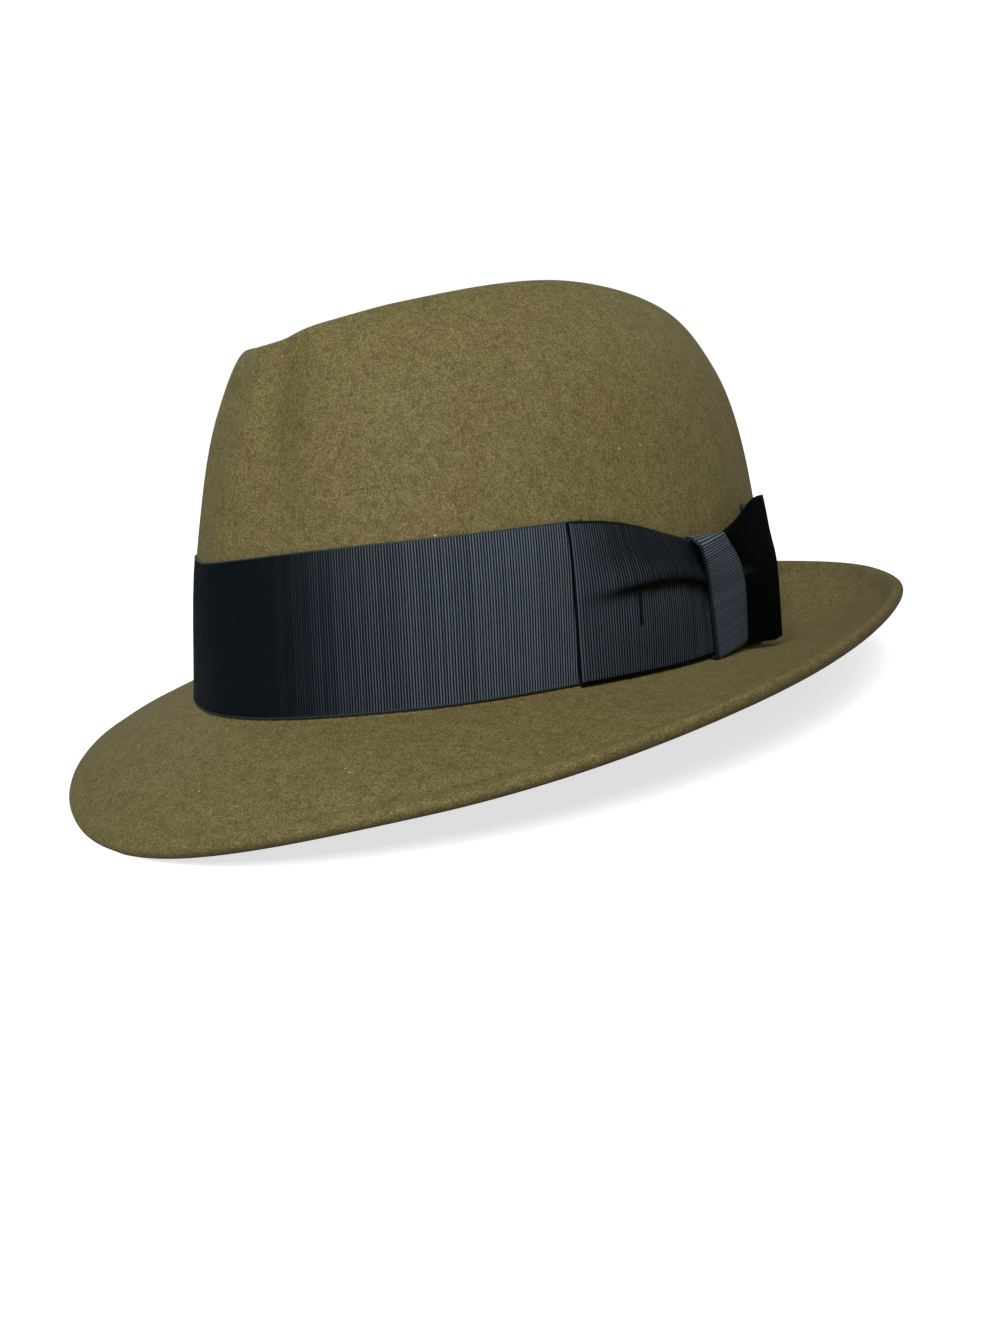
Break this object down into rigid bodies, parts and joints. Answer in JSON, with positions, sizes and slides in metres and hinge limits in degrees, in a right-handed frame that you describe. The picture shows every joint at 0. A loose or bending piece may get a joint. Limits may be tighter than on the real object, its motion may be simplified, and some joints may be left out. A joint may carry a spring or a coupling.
{
  "type": "fedora",
  "caption": "Felt fedora with a creased, front-pinched crown, a snapped welted brim, a wide ribbed ribbon band and a flat side bow.",
  "frame": {"origin": "under the middle of the hat's bounding box, on the surface that it rests on", "axes": "the front of the hat faces -Y, the wearer's left with the bow is +X and the crown is up, +Z"},
  "size_m": [0.2608, 0.2972, 0.1396],
  "materials": {
    "felt": "olive fur felt with a short, even nap",
    "band_ribbon": "black-blue ribbed ribbon, ribs upright",
    "knot_ribbon": "the same ribbon with its ribs across, catching the light",
    "tail_ribbon": "the same ribbon turned away from the light"
  },
  "bodies": {
    "root": {"felt_body": "felt", "hat_band": "band_ribbon", "bow_panel": "band_ribbon", "bow_knot": "knot_ribbon", "bow_tail": "tail_ribbon"}
  },
  "joints": []
}
